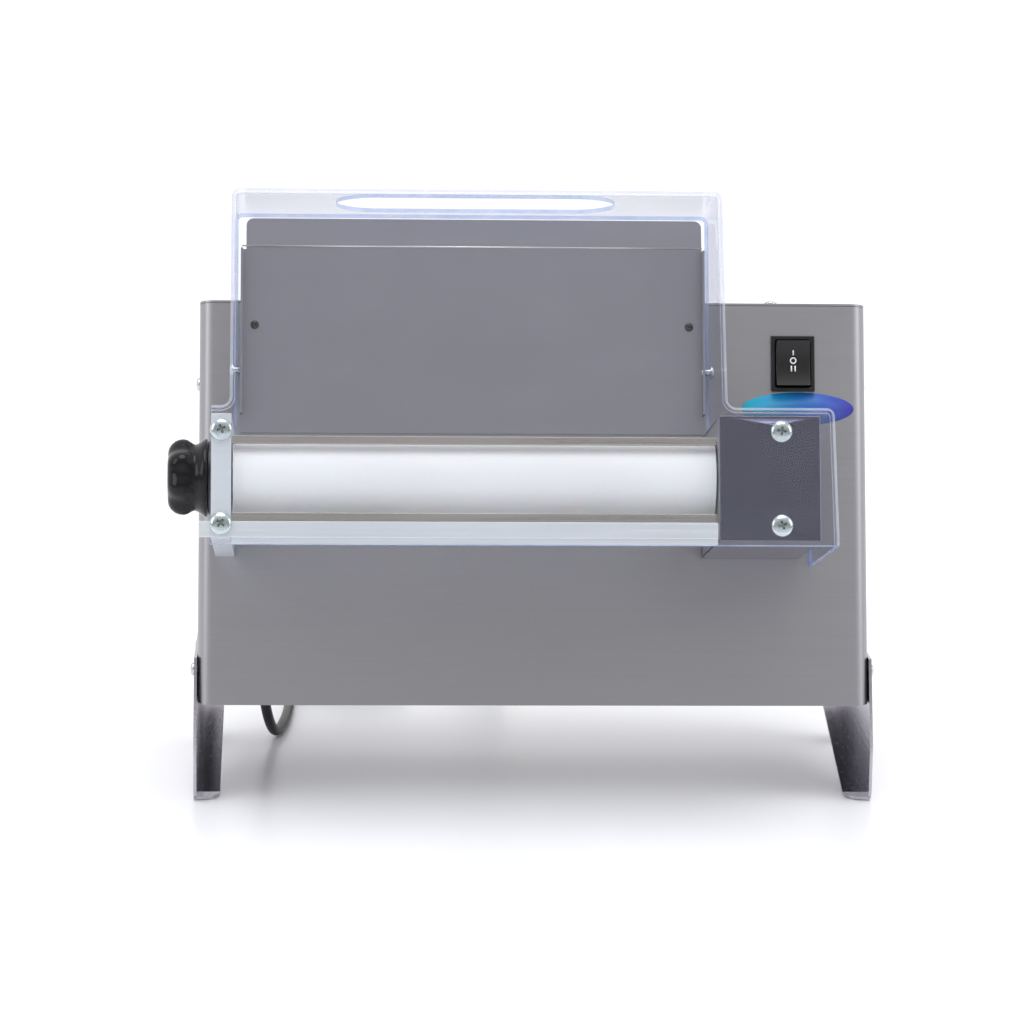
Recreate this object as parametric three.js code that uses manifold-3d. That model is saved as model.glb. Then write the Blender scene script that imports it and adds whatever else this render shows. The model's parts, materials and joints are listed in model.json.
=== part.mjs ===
// A countertop dough and pasta roller. A sheet steel housing leans back on two side feet. On its
// front a pair of driven rollers turns between end plates, under a hopper plate and a clear guard
// with a feed slot. A knob moves the front roller to set the gap. A gear motor, a chain and a pair
// of gears drive the rollers, and a three-way rocker switch and a mains lead feed the motor.
// Millimetres, +Z up, +X to the user's right, +Y away from the user.

import * as THREE from "three";
import { mergeVertices } from "three/addons/utils/BufferGeometryUtils.js";
import Module from "manifold-3d";

const wasm = await Module();
wasm.setup();

// The housing's own frame has +Z up along the front panel from its bottom edge, and y = 0 on the
// panel's face. It leans back by TILT, with the panel's bottom edge PANEL_BASE above the table.
const TILT = THREE.MathUtils.degToRad(16.75);
const PANEL_BASE = 65.8;
const SHEET = 1.5;
const GAP = 0.3;

const HOUSING = { halfWidth: 231, depth: 150, height: 278, bend: 10, lip: 14 };
const BODY_WINDOW = { x: [119.5, 181], z: [105, 180] };
const TOP_FLANGE = 12;
const REAR_FLANGE = 16;

const FOOT = { thickness: 2, flange: 17.8, front: -7, tip: 8, flat: 10, end: 140, slope: 0.285, corner: 14 };
const FOOT_SCREWS = [
  [22, 86],
  [132, 78],
];

const PLATE = { front: -124, left: [-219, -206], right: [150.5, 163.5], z: [102.8, 183.2] };
const AXLE_Z = 146;
const FRONT_AXLE = [-90, AXLE_Z];
const REAR_AXLE = [-32, AXLE_Z];
const ROLLER = { radius: 28, x: [-204.9, 114.6] };
const ROLLER_SCREW = { x: [-212.5, 157], z: [111.8, 174.3] };

const REAR_SHAFT = { radius: 8, x: [-221.5, 180] };
const CAM = { shaft: 6, radius: 10, offset: 2.5, x: [-240, 171], discs: [[-218, -209.8], [154.3, 162.5]] };
const BLOCK = { halfDepth: 15, z: [130.3, 161.7], stub: 12, bore: 8.4, web: 3 };
const BLOCK_WINDOW = { halfDepth: 18, z: [130, 162] };

const GEAR = { teeth: 20, pitch: 29, addendum: 2, dedendum: 4.4, half: 1.45, x: [119.5, 134] };
const GEAR_HUB = { radius: 17, x: [104.3, 136] };
const SPROCKET = { teeth: 12, root: 20.7, tip: 27.4, x: [169.6, 173.4] };
const CHAIN = { outer: 30, inner: 19, x: [166.5, 176.5], plate: 1.7 };
const DRIVE_AXLE = [60, AXLE_Z];

const COVER = { x: [115.8, 183], front: -125.5, back: -0.4, z: [101.3, 185] };
const INNER_PLATE = [115.8, 118.3];

const HOPPER = { x: [-202.6, 117.6], z: [187.5, 317.4], face: -1.8, rim: 337.2, lean: 1.4, flange: 12.2 };
const RIM = { x: [-199, 116.6], corner: 5 };
const HOPPER_SCREW = { x: [-192.9, 107.6], z: 262.5 };
const GUARD = {
  thickness: 3,
  upper: [-207.3, 121.7],
  lower: [-219, 192.4],
  z: [96.3, 190, 340.6],
  front: -99.5,
  slope: 52 / 244,
  back: -0.6,
};
const FEED_SLOT = { x: -42.5, halfLength: 95, y: [-79, -24] };
const GUARD_SCREW = { y: -8, z: 230 };

const MOTOR = { radius: 45, bore: 33, x: [-60, 84.7], rotor: 31, fan: 38 };
const GEARHEAD = { x: [85, 160], half: 45 };
const SWITCH = { centre: [179.8, 237.5], bezel: [15.2, 19.5], body: [13.2, 17.5], well: [12.2, 16.6] };
const ROCKER = { half: [11.8, 15.7], hollow: 2.4, face: -3.6 };

const CORD_RADIUS = 3.75;
const ELBOW = { x: -188, y: 159.25, top: 74, end: 41 };
const COIL = { centre: [-122, 338], inner: 30, outer: 53, height: 15 };

const FINISH = {
  housing: { color: 0x86858c, roughness: 0.38, metalness: 0.9 },
  steel: { color: 0xa9abb0, roughness: 0.35, metalness: 0.95 },
  cover: { color: 0x5b5b70, roughness: 0.16, metalness: 1.0 },
  aluminium: { color: 0xc3cbd0, roughness: 0.42, metalness: 0.85 },
  bar: { color: 0x8d8682, roughness: 0.35, metalness: 0.95 },
  zinc: { color: 0xcfd3d6, roughness: 0.25, metalness: 0.95 },
  white: { color: 0xe4e7ea, roughness: 0.45, metalness: 0.0 },
  bakelite: { color: 0x1b1b20, roughness: 0.18, metalness: 0.0 },
  black: { color: 0x131315, roughness: 0.35, metalness: 0.0 },
  foot: { color: 0x6c6970, roughness: 0.35, metalness: 0.9 },
  clear: { color: 0xd5e0f5, roughness: 0.08, metalness: 0.0 },
  motor: { color: 0x3c3f44, roughness: 0.5, metalness: 0.6 },
  casting: { color: 0x9a9da2, roughness: 0.55, metalness: 0.7 },
  brass: { color: 0xb08d45, roughness: 0.35, metalness: 0.9 },
};

// ---- Outlines: lists of [u, v] points ----

function range(count) {
  return [...Array(count).keys()];
}

function circle(radius, [u, v] = [0, 0], sides = 32) {
  return range(sides).map((i) => {
    const angle = (2 * Math.PI * i) / sides;
    return [u + radius * Math.cos(angle), v + radius * Math.sin(angle)];
  });
}

function rect([u0, u1], [v0, v1]) {
  return [
    [u0, v0],
    [u1, v0],
    [u1, v1],
    [u0, v1],
  ];
}

// An open line with a true arc at each inner corner.
function filleted(line, radius, steps = 4) {
  const points = line.map(([u, v]) => new THREE.Vector2(u, v));
  const arcs = points.slice(1, -1).flatMap((corner, i) => {
    const back = points[i].clone().sub(corner).normalize();
    const on = points[i + 2].clone().sub(corner).normalize();
    const half = Math.acos(THREE.MathUtils.clamp(back.dot(on), -1, 1)) / 2;
    const turn = (Math.PI - 2 * half) * Math.sign(on.cross(back));
    const centre = back.clone().add(on).normalize().multiplyScalar(radius / Math.sin(half)).add(corner);
    const start = back.clone().multiplyScalar(radius / Math.tan(half)).add(corner);
    return range(steps + 1).map((k) => start.clone().rotateAround(centre, (turn * k) / steps));
  });
  return [points[0], ...arcs, points.at(-1)].map((point) => [point.x, point.y]);
}

// A closed outline with all its corners rounded.
function rounded(outline, radius, steps = 3) {
  const [first, second] = outline;
  const middle = [(first[0] + second[0]) / 2, (first[1] + second[1]) / 2];
  return filleted([middle, ...outline.slice(1), first, middle], radius, steps).slice(1);
}

// What rounds off a corner at [u, v], where the material lies towards [du, dv].
function offCorner([u, v], [du, dv], radius) {
  const arc = range(7).map((i) => {
    const angle = (Math.PI / 12) * (6 - i);
    return [u + du * radius * (1 - Math.cos(angle)), v + dv * radius * (1 - Math.sin(angle))];
  });
  return [[u - 2 * du, v + dv * radius], [u - 2 * du, v - 2 * dv], [u + du * radius, v - 2 * dv], ...arc];
}

// The section of a sheet that is bent along its middle line.
function bentSheet(line, thickness, radius) {
  const middle = filleted(line, radius).map(([u, v]) => new THREE.Vector2(u, v));
  const side = (sign) =>
    middle.map((point, i) => {
      const before = point.clone().sub(middle[Math.max(i - 1, 0)]);
      const after = middle[Math.min(i + 1, middle.length - 1)].clone().sub(point);
      const normals = [before, after]
        .filter((step) => step.length() > 0)
        .map((step) => new THREE.Vector2(-step.y, step.x).normalize());
      const mean = normals.reduce((sum, normal) => sum.add(normal), new THREE.Vector2()).normalize();
      const moved = point.clone().addScaledVector(mean, (sign * thickness) / 2 / mean.dot(normals[0]));
      return [moved.x, moved.y];
    });
  return [...side(1), ...side(-1).reverse()];
}

// A band of one radius around two equal wheels.
function racetrack(radius, [u0, v0], [u1, v1], steps = 16) {
  const arc = (u, v, from) =>
    range(steps + 1).map((k) => {
      const angle = from + (Math.PI * k) / steps;
      return [u + radius * Math.cos(angle), v + radius * Math.sin(angle)];
    });
  return [...arc(u0, v0, Math.PI / 2), ...arc(u1, v1, -Math.PI / 2)];
}

// Straight-flanked teeth, half as thick at the pitch radius as given, and turned by phase of a tooth.
function toothed({ teeth, pitch, addendum, dedendum, half }, [u, v], phase = 0) {
  const flank = Math.tan(THREE.MathUtils.degToRad(20));
  const point = (radius, tooth, side) => {
    const thickness = half - (radius - pitch) * flank;
    const angle = (2 * Math.PI * (tooth + phase)) / teeth + (side * thickness) / radius;
    return [u + radius * Math.cos(angle), v + radius * Math.sin(angle)];
  };
  return range(teeth).flatMap((tooth) => [
    point(pitch - dedendum, tooth, -1),
    point(pitch + addendum, tooth, -1),
    point(pitch + addendum, tooth, 1),
    point(pitch - dedendum, tooth, 1),
  ]);
}

// ---- Solids ----

const X = new THREE.Vector3(1, 0, 0);
const Y = new THREE.Vector3(0, 1, 0);
const Z = new THREE.Vector3(0, 0, 1);
const BASIS = {
  x: new THREE.Matrix4().makeBasis(Y, Z, X),
  y: new THREE.Matrix4().makeBasis(Z, X, Y),
  z: new THREE.Matrix4(),
};

// An outline drawn in the plane across an axis, [y, z], [x, z] or [x, y], and extruded along it.
function prism(axis, [from, to], outline, holes = []) {
  const flat = ([u, v]) => (axis === "y" ? new THREE.Vector2(v, u) : new THREE.Vector2(u, v));
  const shape = new THREE.Shape(outline.map(flat));
  shape.holes = holes.map((hole) => new THREE.Path(hole.map(flat)));
  const solid = new THREE.ExtrudeGeometry(shape, { depth: to - from, bevelEnabled: false });
  return solid.translate(0, 0, from).applyMatrix4(BASIS[axis]);
}

function slab(x, y, z) {
  return prism("x", x, rect(y, z));
}

function rod(axis, radius, span, centre, sides = 24) {
  return prism(axis, span, circle(radius, centre, sides));
}

function ring(axis, outer, inner, span, centre, sides = 24) {
  return prism(axis, span, circle(outer, centre, sides), [circle(inner, centre, sides)]);
}

// A profile of [radius, height] points, turned around an axis through the origin.
function turned(axis, profile, sides = 24) {
  const points = profile.map(([radius, height]) => new THREE.Vector2(radius, height));
  return new THREE.LatheGeometry(points, sides).rotateX(Math.PI / 2).applyMatrix4(BASIS[axis]);
}

function manifold(geometry) {
  const bare = geometry.clone();
  bare.deleteAttribute("normal");
  bare.deleteAttribute("uv");
  const merged = mergeVertices(bare, 1e-4);
  return new wasm.Manifold(
    new wasm.Mesh({
      numProp: 3,
      vertProperties: new Float32Array(merged.attributes.position.array),
      triVerts: new Uint32Array(merged.index.array),
    }),
  );
}

function geometry(solid) {
  const { vertProperties, triVerts } = solid.getMesh();
  const made = new THREE.BufferGeometry();
  made.setAttribute("position", new THREE.BufferAttribute(vertProperties, 3));
  made.setIndex(new THREE.BufferAttribute(triVerts, 1));
  made.computeVertexNormals();
  return made;
}

function join(...parts) {
  return geometry(parts.map(manifold).reduce((sum, part) => sum.add(part)));
}

function cut(base, ...tools) {
  return geometry(tools.map(manifold).reduce((rest, tool) => rest.subtract(tool), manifold(base)));
}

function piece(name, shape, finish) {
  const mesh = new THREE.Mesh(shape, new THREE.MeshStandardMaterial({ ...FINISH[finish] }));
  mesh.name = name;
  return mesh;
}

// A domed screw with its seat at the origin and its head towards +Z.
function screw(name, head, dome, shank, length, finish = "zinc") {
  const profile = [
    [0, -length],
    [shank, -length],
    [shank, 0],
    [head, 0],
    [head, dome * 0.35],
    [head * 0.6, dome],
    [0, dome],
  ];
  return piece(name, turned("z", profile, 12), finish);
}

// The place in the housing's own frame, [y, z], of a point given on the table's.
function inHousing([y, z]) {
  const [sin, cos] = [Math.sin(TILT), Math.cos(TILT)];
  return [y * cos - (z - PANEL_BASE) * sin, y * sin + (z - PANEL_BASE) * cos];
}

// The place on the table's frame, [y, z], of a point given in the housing's.
function onTable([y, z]) {
  const [sin, cos] = [Math.sin(TILT), Math.cos(TILT)];
  return [y * cos + z * sin, PANEL_BASE - y * sin + z * cos];
}

// The housing's underside is level with the table: its height at a depth behind the panel.
function underside(y) {
  return y * Math.tan(TILT);
}

// A level sheet on the underside, lifted by a clearance.
function levelSheet(x, [front, back], lift) {
  return prism("x", x, [
    [front, underside(front) + lift],
    [back, underside(back) + lift],
    [back, underside(back) + lift + SHEET],
    [front, underside(front) + lift + SHEET],
  ]);
}

// ---- Housing ----

function housingShell() {
  const { halfWidth, depth, height, bend, lip } = HOUSING;
  const middle = halfWidth - SHEET / 2;
  const wrap = [
    [-middle, depth],
    [-middle, SHEET / 2],
    [middle, SHEET / 2],
    [middle, depth],
  ];
  const shell = prism("z", [0, height], bentSheet(wrap, SHEET, bend - SHEET / 2));
  const below = prism("x", [-240, 240], [
    [0, 0],
    [-2, -10],
    [depth + 5, -10],
    [depth + 5, underside(depth + 5)],
  ]);
  const bottomLip = levelSheet([-222, 222], [1, lip], 0);
  const cableNotch = slab([-197, -179], [3, lip + 1], [-1, underside(lip) + 2 * SHEET]);
  const switchHole = slab(
    [SWITCH.centre[0] - SWITCH.body[0] - GAP, SWITCH.centre[0] + SWITCH.body[0] + GAP],
    [-5, 5],
    [SWITCH.centre[1] - SWITCH.body[1] - GAP, SWITCH.centre[1] + SWITCH.body[1] + GAP],
  );
  const hopperHoles = HOPPER_SCREW.x.map((x) => rod("y", 2.5, [-5, 5], [x, HOPPER_SCREW.z], 16));
  const footHoles = FOOT_SCREWS.map((at) => rod("x", 2.8, [-240, 240], inHousing(at), 16));
  return cut(
    join(cut(shell, below), bottomLip),
    cableNotch,
    slab(BODY_WINDOW.x, [-5, 5], BODY_WINDOW.z),
    switchHole,
    ...hopperHoles,
    ...footHoles,
  );
}

function topCover() {
  const { halfWidth, depth, height, bend } = HOUSING;
  const inside = halfWidth - SHEET - GAP - SHEET / 2;
  const front = SHEET + GAP + SHEET / 2;
  const lid = filleted(
    [
      [-halfWidth, depth],
      [-halfWidth, 0],
      [halfWidth, 0],
      [halfWidth, depth],
    ],
    bend,
  );
  const flange = [
    [-inside, depth - 2 * REAR_FLANGE],
    [-inside, front],
    [inside, front],
    [inside, depth - 2 * REAR_FLANGE],
  ];
  return join(
    prism("z", [height + GAP, height + GAP + SHEET], lid),
    prism("z", [height - TOP_FLANGE, height + 1], bentSheet(flange, SHEET, bend - SHEET * 2)),
  );
}

function rearCover() {
  const { halfWidth, depth, height } = HOUSING;
  const inside = halfWidth - SHEET - 2 * GAP - SHEET / 2;
  const back = depth + GAP + SHEET / 2;
  const wrap = [
    [-inside, depth - REAR_FLANGE],
    [-inside, back],
    [inside, back],
    [inside, depth - REAR_FLANGE],
  ];
  const vents = range(7).map((row) => {
    const z = 120 + 14 * row;
    return slab([-70, 70], [depth - 5, depth + 5], [z, z + 4]);
  });
  return cut(
    prism("z", [underside(back) + 2 * (SHEET + GAP), height - GAP], bentSheet(wrap, SHEET, 3)),
    ...vents,
    rod("y", 9.3, [depth - 5, depth + 5], [ELBOW.x, ELBOW.top - 6]),
  );
}

function bottomPlate() {
  const slots = range(6).map((row) => slab([-60, 40], [30 + 16 * row, 34 + 16 * row], [0, 60]));
  return cut(levelSheet([-222, 222], [3, HOUSING.depth - 1], SHEET + GAP), ...slots);
}

// A side plate with an inward flange along its lower edge, which lies on the table at the front and
// rises towards the back, where the plate ends in a rear leg.
function foot(side) {
  const outer = HOUSING.halfWidth + GAP + FOOT.thickness;
  const span = side < 0 ? [-outer, -outer + FOOT.thickness] : [outer - FOOT.thickness, outer];
  const lift = (y) => (y - FOOT.front - FOOT.tip - FOOT.flat) * FOOT.slope;
  const toe = [FOOT.front + FOOT.tip + FOOT.flat, 0];
  const tip = filleted([[FOOT.front, 40], [FOOT.front, 0], toe], FOOT.tip);
  const plate = [
    ...tip,
    [FOOT.end, lift(FOOT.end)],
    [146, lift(FOOT.end)],
    [158, 0],
    [176, 0],
    [182, 6],
    [182, 62],
    [160, 96],
    [13, 96],
  ];
  const middle = FOOT.thickness / 2;
  const edge = [
    [FOOT.front + FOOT.tip / 2, middle],
    [toe[0], middle],
    [FOOT.end, lift(FOOT.end) + middle],
  ];
  const inward = side < 0 ? [-outer + 1, -outer + FOOT.flange] : [outer - FOOT.flange, outer - 1];
  const holes = FOOT_SCREWS.map((at) => rod("x", 2.8, [-240, 240], at, 16));
  const corner = [side * (outer - FOOT.flange), edge[0][0]];
  return cut(
    join(prism("x", span, plate), prism("x", inward, bentSheet(edge, FOOT.thickness, FOOT.tip - middle))),
    prism("z", [-1, 20], offCorner(corner, [side, 1], FOOT.corner)),
    ...holes,
  );
}

// ---- Roller unit ----

function endPlate(x, z) {
  const window = rect(
    [FRONT_AXLE[0] - BLOCK_WINDOW.halfDepth, FRONT_AXLE[0] + BLOCK_WINDOW.halfDepth],
    BLOCK_WINDOW.z,
  );
  const plate = prism("x", x, rect([PLATE.front + GAP, -GAP], z), [window, circle(12.3, REAR_AXLE)]);
  const middle = (x[0] + x[1]) / 2;
  const holes = ROLLER_SCREW.z.map((height) =>
    rod("y", 4.3, [PLATE.front - 5, PLATE.front + 26], [middle, height], 20),
  );
  return cut(plate, ...holes);
}

// A block that slides in an end plate's window. The cam turns in its slot, and the front roller
// turns on its hollow stub, which points to the other end plate.
function bearingBlock(x, stubEnd) {
  const inner = stubEnd > x[0] ? x[1] : x[0];
  const web = stubEnd > x[0] ? [x[0] - 1, x[1] - BLOCK.web] : [x[0] + BLOCK.web, x[1] + 1];
  const block = slab(x, [FRONT_AXLE[0] - BLOCK.halfDepth, FRONT_AXLE[0] + BLOCK.halfDepth], BLOCK.z);
  const stub = rod("x", BLOCK.stub, [Math.min(inner, stubEnd), Math.max(inner, stubEnd)], FRONT_AXLE);
  const slot = slab(web, [FRONT_AXLE[0] - 10.5, FRONT_AXLE[0] + 10.5], [136.5, 159.5]);
  return cut(join(block, stub), slot, rod("x", BLOCK.bore, [-230, 230], FRONT_AXLE, 24));
}

function windowCap(x) {
  return ring("x", 24.6, CAM.shaft + GAP, x, FRONT_AXLE, 40);
}

// The gap adjuster: a shaft through both blocks with an eccentric disc in each.
function camShaft() {
  const discs = CAM.discs.map((x) =>
    rod("x", CAM.radius, x, [FRONT_AXLE[0], FRONT_AXLE[1] + CAM.offset]),
  );
  return join(rod("x", CAM.shaft, CAM.x, FRONT_AXLE), ...discs);
}

// A lobed grip, a narrow waist and a round collar, with a blind bore for the cam shaft.
function knob() {
  const steps = 56;
  const lobed = range(steps).map((i) => {
    const angle = (2 * Math.PI * i) / steps;
    const radius = 20.6 + 1.4 * Math.cos(7 * angle);
    return new THREE.Vector2(radius * Math.cos(angle), radius * Math.sin(angle));
  });
  const grip = new THREE.ExtrudeGeometry(new THREE.Shape(lobed), {
    depth: 12,
    bevelSize: 3,
    bevelThickness: 3.5,
    bevelSegments: 2,
  });
  const waist = [
    [0, -236],
    [21, -236],
    [21, -230],
    [23.5, -227],
    [25, -225],
    [25, -221.6],
    [0, -221.6],
  ];
  const body = join(
    grip.applyMatrix4(BASIS.x).translate(-244.9, 0, 0),
    turned("x", waist, 28),
  );
  return cut(body.translate(0, ...FRONT_AXLE), rod("x", CAM.shaft + GAP, [CAM.x[0] - GAP, -220], FRONT_AXLE));
}

function frontRoller() {
  return cut(
    ring("x", ROLLER.radius, BLOCK.stub + 0.4, ROLLER.x, FRONT_AXLE, 48),
    rod("x", GEAR_HUB.radius + GAP, [GEAR_HUB.x[0] - GAP, ROLLER.x[1] + 1], FRONT_AXLE),
  );
}

function frontGear() {
  const gear = prism("x", GEAR.x, toothed(GEAR, FRONT_AXLE, 0.5));
  const hub = rod("x", GEAR_HUB.radius, GEAR_HUB.x, FRONT_AXLE);
  return cut(join(gear, hub), rod("x", BLOCK.stub + 0.4, [90, 140], FRONT_AXLE));
}

function sprocket(axle, bore, hubSpan) {
  const { teeth, root, tip, x } = SPROCKET;
  const outline = range(teeth).flatMap((tooth) =>
    [-0.3, -0.1, 0.1, 0.3].map((share, i) => {
      const angle = (2 * Math.PI * (tooth + share)) / teeth;
      const radius = i % 3 ? tip : root;
      return [axle[0] + radius * Math.cos(angle), axle[1] + radius * Math.sin(angle)];
    }),
  );
  return cut(join(prism("x", x, outline), rod("x", 13, hubSpan, axle)), rod("x", bore, [100, 200], axle));
}

function chain() {
  const { outer, inner, x, plate } = CHAIN;
  const channel = [x[0] + plate, x[1] - plate];
  return cut(
    prism("x", x, racetrack(outer, REAR_AXLE, DRIVE_AXLE), [racetrack(inner, REAR_AXLE, DRIVE_AXLE)]),
    prism("x", channel, racetrack(outer - plate, REAR_AXLE, DRIVE_AXLE)),
  );
}

function gearCover() {
  const { x, front, back, z } = COVER;
  const box = slab(x, [front, back], z);
  const room = slab([x[0] - 5, x[1] - SHEET], [front + SHEET, back + 5], [z[0] + SHEET, z[1] - SHEET]);
  const holes = ROLLER_SCREW.z.map((height) =>
    rod("y", 4.3, [front - 5, front + 5], [ROLLER_SCREW.x[1], height], 20),
  );
  return cut(box, room, ...holes);
}

function innerPlate() {
  const z = [COVER.z[0] + SHEET + GAP, COVER.z[1] - SHEET - GAP];
  const plate = rect([COVER.front + SHEET + GAP, -3], z);
  return prism("x", INNER_PLATE, plate, [circle(19.6, FRONT_AXLE), circle(12, REAR_AXLE)]);
}

// A flat rail with a thinner strip below it, between the end plates.
function frontRail() {
  const face = slab([-227, ROLLER.x[1]], [-126.3, -124], [103, 113.5]);
  const strip = slab([-205.4, ROLLER.x[1]], [-125.4, -124], [98.4, 104]);
  return cut(join(face, strip), rod("y", 4.3, [-130, -120], [ROLLER_SCREW.x[0], ROLLER_SCREW.z[0]], 20));
}

const SCRAPER_SPAN = [-204.4, 114.2];

function frontScraper() {
  const blade = [
    [-111.7, 113.8],
    [-102.5, 117],
    [-104, 119.6],
    [-111.7, 117],
  ];
  return prism("x", SCRAPER_SPAN, blade);
}

function rearScraper() {
  const line = [
    [-2.2, 116.5],
    [-2.2, 121],
    [-13.5, 123.2],
  ];
  return prism("x", SCRAPER_SPAN, bentSheet(line, SHEET, 2.5));
}

// ---- Feed ----

function hopperPlate() {
  const middle = HOPPER.face + SHEET / 2;
  const sheet = [
    [middle, HOPPER.z[0]],
    [middle, HOPPER.z[1]],
    [middle + HOPPER.lean, HOPPER.rim],
  ];
  const sides = [HOPPER.x[0], HOPPER.x[1] - SHEET].map((x) =>
    slab([x, x + SHEET], [HOPPER.face - HOPPER.flange, HOPPER.face + 1], [200, HOPPER.z[1] - 3]),
  );
  const rimEnds = [
    [HOPPER.x[0] - 1, RIM.x[0]],
    [RIM.x[1], HOPPER.x[1] + 1],
  ].map((x) => slab(x, [-5, 10], [HOPPER.z[1] - 2, HOPPER.rim + 5]));
  const corners = RIM.x.map((x, i) =>
    prism("y", [-5, 10], offCorner([x, HOPPER.rim], [i ? -1 : 1, -1], RIM.corner)),
  );
  const holes = HOPPER_SCREW.x.map((x) => rod("y", 2.5, [-5, 5], [x, HOPPER_SCREW.z], 16));
  const sideHoles = rod("x", 2.3, [-230, 230], [GUARD_SCREW.y, GUARD_SCREW.z], 16);
  return cut(
    join(prism("x", HOPPER.x, bentSheet(sheet, SHEET, 3)), ...sides),
    ...rimEnds,
    ...corners,
    ...holes,
    sideHoles,
  );
}

// The clear guard: a front sheet that slopes outwards to its foot, a top with the feed slot, side
// walls back to the panel, and a wider lower part over the end plate and the gear cover.
function guard() {
  const { thickness, upper, lower, z, front, slope, back } = GUARD;
  const [foot, step, top] = z;
  const outline = [
    [lower[0], foot],
    [lower[1], foot],
    [lower[1], step],
    [upper[1], step],
    [upper[1], top],
    [upper[0], top],
    [upper[0], step],
    [lower[0], step],
  ];
  const lean = new THREE.Matrix4().set(1, 0, 0, 0, 0, 1, slope, -slope * top, 0, 0, 1, 0, 0, 0, 0, 1);
  const sheet = prism("y", [front, front + thickness], rounded(outline, 4)).applyMatrix4(lean);
  const face = (height) => front + slope * (height - top) + 1;
  const wall = (x, [low, high]) =>
    prism("x", x, [
      [face(low), low],
      [back, low],
      [back, high],
      [face(high), high],
    ]);
  const slot = racetrack(
    (FEED_SLOT.y[1] - FEED_SLOT.y[0]) / 2,
    [FEED_SLOT.x - FEED_SLOT.halfLength + 27.5, (FEED_SLOT.y[0] + FEED_SLOT.y[1]) / 2],
    [FEED_SLOT.x + FEED_SLOT.halfLength - 27.5, (FEED_SLOT.y[0] + FEED_SLOT.y[1]) / 2],
    10,
  );
  return cut(
    join(
      sheet,
      wall([upper[0], upper[0] + thickness], [step - thickness, top]),
      wall([upper[1] - thickness, upper[1]], [step - thickness, top]),
      wall([lower[1] - thickness, lower[1]], [foot + 1, step]),
      wall([upper[0], upper[1]], [top - thickness, top]),
      wall([upper[1] - thickness, lower[1]], [step - thickness, step]),
      wall([lower[0], upper[0] + thickness], [step - thickness, step]),
    ),
    prism("z", [top - 10, top + 10], slot),
    rod("x", 2.3, [-230, 130], [GUARD_SCREW.y, GUARD_SCREW.z], 16),
  );
}

// ---- Drive and electrics ----

function motorHousing() {
  return cut(
    rod("x", MOTOR.radius, MOTOR.x, DRIVE_AXLE, 40),
    rod("x", MOTOR.bore, [MOTOR.x[0] - 1, MOTOR.x[1] - 5], DRIVE_AXLE),
    rod("x", 5.6, [0, 100], DRIVE_AXLE),
  );
}

function motorRotor() {
  const blades = range(8).map((i) => {
    const blade = slab([-77, -67], [8, MOTOR.fan], [-1.2, 1.2]).rotateX((Math.PI * i) / 4);
    return blade.translate(0, ...DRIVE_AXLE);
  });
  return join(
    rod("x", 5, [-79, 91], DRIVE_AXLE, 20),
    rod("x", MOTOR.rotor, [-45, 60], DRIVE_AXLE),
    rod("x", MOTOR.fan, [-69, -66], DRIVE_AXLE),
    ...blades,
  );
}

function gearhead() {
  const [y, z] = DRIVE_AXLE;
  const { half } = GEARHEAD;
  const outline = rounded(rect([y - half, y + half], [z - half, z + half]), 8);
  return cut(
    prism("x", GEARHEAD.x, outline),
    rod("x", 5.6, [80, 96], DRIVE_AXLE),
    rod("x", 7.8, [136, 165], DRIVE_AXLE),
  );
}

function motorBracket() {
  const seat = underside(112) + 2 * (SHEET + GAP) + 1.5;
  const line = [
    [118, seat],
    [161.9, seat],
    [161.9, 196],
  ];
  return cut(prism("y", [8, 112], bentSheet(line, 3, 5)), rod("x", 22, [155, 170], DRIVE_AXLE));
}

function terminalBlock() {
  const seat = underside(118) + 2 * (SHEET + GAP);
  const wells = range(5).map((i) => rod("z", 2.2, [seat + 6, seat + 30], [-104 + 9 * i, 109], 12));
  return cut(slab([-110, -62], [100, 118], [seat, seat + 17]), ...wells);
}

function around([x, z], [halfX, halfZ], y) {
  return slab([x - halfX, x + halfX], y, [z - halfZ, z + halfZ]);
}

function switchBody() {
  return cut(
    join(around(SWITCH.centre, SWITCH.bezel, [-2.4, -GAP]), around(SWITCH.centre, SWITCH.body, [-1, 28])),
    around(SWITCH.centre, SWITCH.well, [-10, 16]),
  );
}

// The rocker's face is a shallow hollow between its two raised ends.
function rocker() {
  const [x, z] = SWITCH.centre;
  const [halfX, halfZ] = ROCKER.half;
  const hollow = range(9).map((i) => {
    const share = i / 4 - 1;
    return [ROCKER.face - ROCKER.hollow * share * share, z + halfZ * share];
  });
  const outline = [...hollow, [1, z + halfZ - 0.6], [8.5, z + 5], [8.5, z - 5], [1, z - halfZ + 0.6]];
  return prism("x", [x - halfX, x + halfX], outline);
}

function cordElbow() {
  const { x, y, top, end } = ELBOW;
  const sleeve = [
    [0, end],
    [5, end],
    [5.4, end + 4],
    [8.2, top - 10],
    [8.2, top],
    [0, top],
  ];
  const outside = HOUSING.depth + 2 * GAP + SHEET;
  return join(
    turned("z", sleeve, 20).translate(x, y, 0),
    rod("y", 12, [outside, y + 8], [x, top - 6], 24),
    rod("y", 9, [HOUSING.depth - 8, outside + 1], [x, top - 6], 24),
  );
}

// ---- The mains lead, on the table's frame ----

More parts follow.
